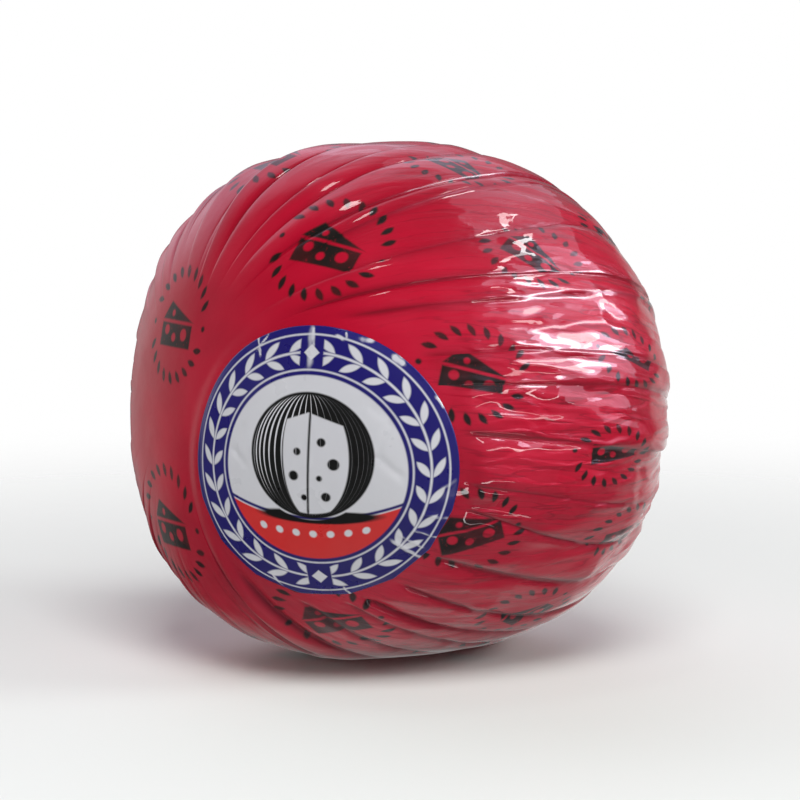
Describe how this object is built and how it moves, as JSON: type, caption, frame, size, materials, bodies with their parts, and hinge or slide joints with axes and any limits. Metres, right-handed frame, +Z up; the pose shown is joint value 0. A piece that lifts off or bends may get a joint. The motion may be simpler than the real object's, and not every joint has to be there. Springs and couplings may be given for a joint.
{
  "type": "film-wrapped edam cheese ball",
  "caption": "Whole ball-shaped cheese shut in a glossy pleated film, with a round sticker label on its side, resting on a small flat spot.",
  "frame": {"origin": "on the table, under the middle of the ball's bounding box", "axes": "+Z up, +X to the right of the labelled side, -Y towards the viewer; the film's pleats run round an axis that points to the left, towards the viewer and a little up, (-0.829, -0.546, 0.116)"},
  "size_m": [0.152, 0.155, 0.144],
  "materials": {
    "film": "glossy deep red food film with black print, drawn tight over the cheese in narrow pleats",
    "label": "varnished paper sticker, navy border round a white middle"
  },
  "bodies": {
    "root": {"film_wrapped_cheese": "film", "round_label": "label"}
  },
  "joints": []
}
